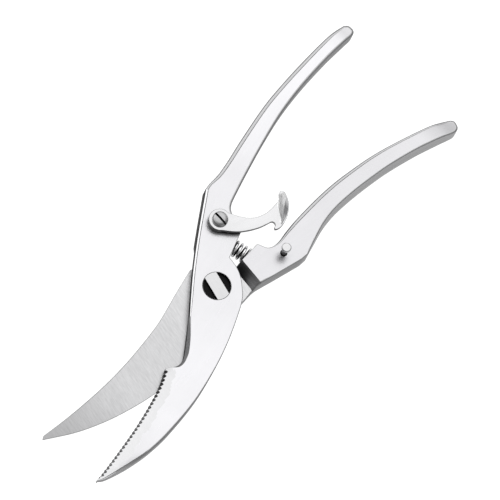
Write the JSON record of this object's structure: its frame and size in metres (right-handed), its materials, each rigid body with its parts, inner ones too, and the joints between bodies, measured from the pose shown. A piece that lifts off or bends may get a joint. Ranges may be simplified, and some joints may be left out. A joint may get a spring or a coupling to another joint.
{
  "type": "poultry shears",
  "caption": "Spring-opened steel shears with a serrated hooked blade, a plain blade, slim curved handles and a swinging safety latch.",
  "frame": {"origin": "pivot axis, in the plane of the flat back that the shears lie on", "axes": "+X towards the handles, +Y towards the front lever's handle, +Z out of the front face"},
  "size_m": [0.2475, 0.0738, 0.019],
  "materials": {
    "front_lever_satin": "fine satin polish",
    "rear_lever_ground": "satin, cross-ground on the blade, bright on the ramp",
    "pivot_bright": "bright turned",
    "spring_bright": "bright drawn wire",
    "latch_satin": "satin",
    "stud_bright": "bright turned"
  },
  "bodies": {
    "front": {"front_lever": "front_lever_satin", "pivot_screw": "pivot_bright", "pivot_nut": "pivot_bright", "pivot_spring_washer": "spring_bright", "opening_spring": "spring_bright", "latch_screw": "stud_bright", "latch_spacer": "stud_bright", "latch_wave_washer": "spring_bright"},
    "rear": {"rear_lever": "rear_lever_ground", "latch_stud": "stud_bright"},
    "latch_arm": {"latch": "latch_satin"}
  },
  "joints": [
    {"name": "main_pivot", "type": "hinge", "parent": "front", "child": "rear", "pos_m": [0, 0, 0.005], "axis": [0, 0, 1], "range_deg": [0, 17], "stiffness_Nm_per_rad": 2, "springref_deg": -8.59, "deforming": ["opening_spring"]},
    {"name": "latch_pivot", "type": "hinge", "parent": "front", "child": "latch_arm", "pos_m": [0.024, 0.019, 0.013], "axis": [0, 0, -1], "range_deg": [-30, 9]}
  ]
}
